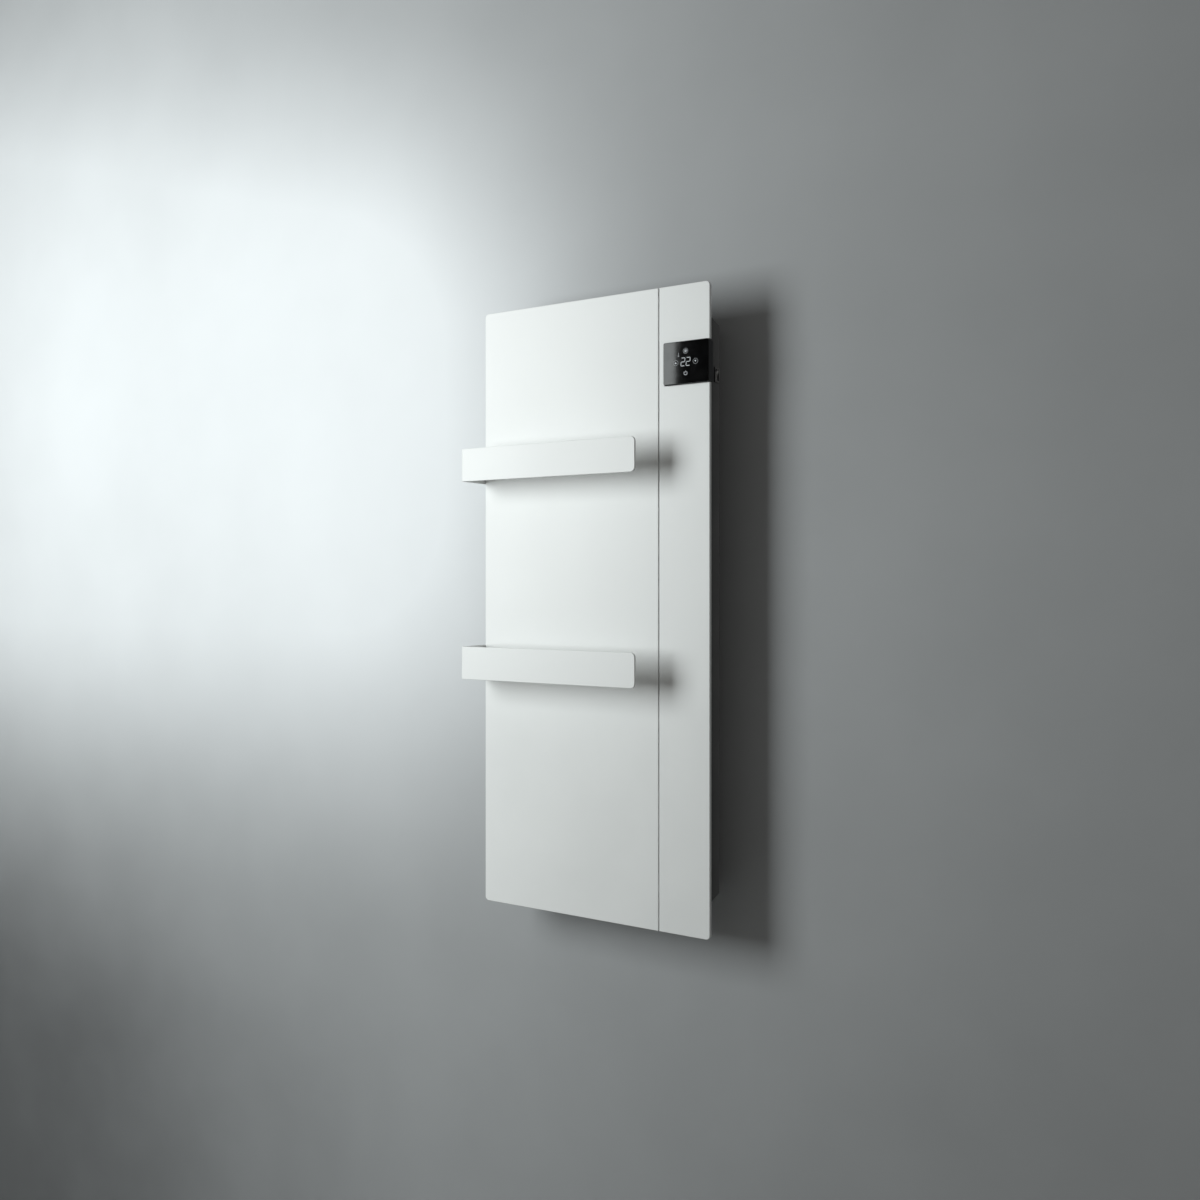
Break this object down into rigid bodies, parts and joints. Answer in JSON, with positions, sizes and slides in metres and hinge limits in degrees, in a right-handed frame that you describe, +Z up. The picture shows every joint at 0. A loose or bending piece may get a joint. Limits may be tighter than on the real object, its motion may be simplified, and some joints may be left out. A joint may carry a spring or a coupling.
{
  "type": "heated towel rail",
  "caption": "Wall-hung flat-panel electric towel warmer with J-shaped towel bars, a glass touch control, a mains rocker switch and a hook-on wall bracket.",
  "frame": {"origin": "on the wall plane, at the centre of the bracket's four wall holes, which is also the middle of the panels", "axes": "+Z up, +Y into the wall, +X to the right seen from the front, so the front faces -Y"},
  "size_m": [0.52, 0.181, 1.2],
  "materials": {
    "white_powder_coat": "satin powder coat, fine orange peel",
    "anthracite_powder_coat": "fine-textured matt powder coat",
    "galvanised_steel": "galvanised",
    "zinc_plated_steel": "zinc plated",
    "black_oxide_steel": "black coated",
    "aluminium": "rolled",
    "brass": "bare",
    "control_glass": "polished, back-printed black",
    "black_plastic": "fine spark texture",
    "rocker_plastic": "semi gloss",
    "white_plastic": "moulded",
    "circuit_board": "solder mask",
    "silicone_red": "silicone sheath",
    "silicone_white": "silicone sheath",
    "black_rubber": "moulded",
    "mineral_wool": "felted",
    "relay_blue": "moulded",
    "transformer_core": "taped winding and ferrite",
    "capacitor_film": "shrunk sleeve",
    "grey_nylon": "moulded nylon"
  },
  "bodies": {
    "wall_bracket": {"bracket_upper_rail": "galvanised_steel", "bracket_lower_rail": "galvanised_steel", "bracket_spine": "galvanised_steel", "bracket_rivets": "zinc_plated_steel"},
    "heater": {"main_panel": "white_powder_coat", "side_panel": "white_powder_coat", "panel_studs": "zinc_plated_steel", "panel_nuts": "zinc_plated_steel", "carrier_plate": "anthracite_powder_coat", "heating_plate": "aluminium", "heating_cable": "silicone_red", "cable_combs": "black_plastic", "cable_grommets": "black_rubber", "insulation_mat": "mineral_wool", "rear_housing": "anthracite_powder_coat", "hang_plates": "galvanised_steel", "housing_screws": "black_oxide_steel", "wall_buffers": "black_rubber", "upper_towel_bar": "white_powder_coat", "lower_towel_bar": "white_powder_coat", "bar_pads": "black_rubber", "bar_bolts": "black_oxide_steel", "bar_clinch_nuts": "zinc_plated_steel", "control_case": "black_plastic", "control_glass": "control_glass", "display_board": "circuit_board", "display_module": "black_plastic", "touch_springs": "brass", "control_strap": "zinc_plated_steel", "control_screws": "zinc_plated_steel", "switch_body": "black_plastic", "power_board": "circuit_board", "board_pillars": "white_plastic", "board_screws": "zinc_plated_steel", "relay": "relay_blue", "transformer": "transformer_core", "capacitor": "capacitor_film", "terminal_block": "white_plastic", "thermal_cutout": "zinc_plated_steel", "room_sensor": "black_plastic", "convector_element": "aluminium", "element_brackets": "galvanised_steel", "heat_shield": "aluminium", "gland_body": "grey_nylon", "gland_cap": "grey_nylon", "gland_locknut": "grey_nylon", "switch_lead": "silicone_white", "supply_lead": "silicone_white", "heater_leads": "silicone_white", "display_lead": "silicone_white", "sensor_lead": "silicone_white"},
    "rocker": {"switch_rocker": "rocker_plastic"}
  },
  "joints": [
    {"name": "lift_off", "type": "slide", "parent": "wall_bracket", "child": "heater", "axis": [0, 0, 1], "range_m": [0, 0.011]},
    {"name": "mains_rocker", "type": "hinge", "parent": "heater", "child": "rocker", "pos_m": [0.226, -0.024, 0.443], "axis": [0, 1, 0], "range_deg": [-20, 0]}
  ]
}
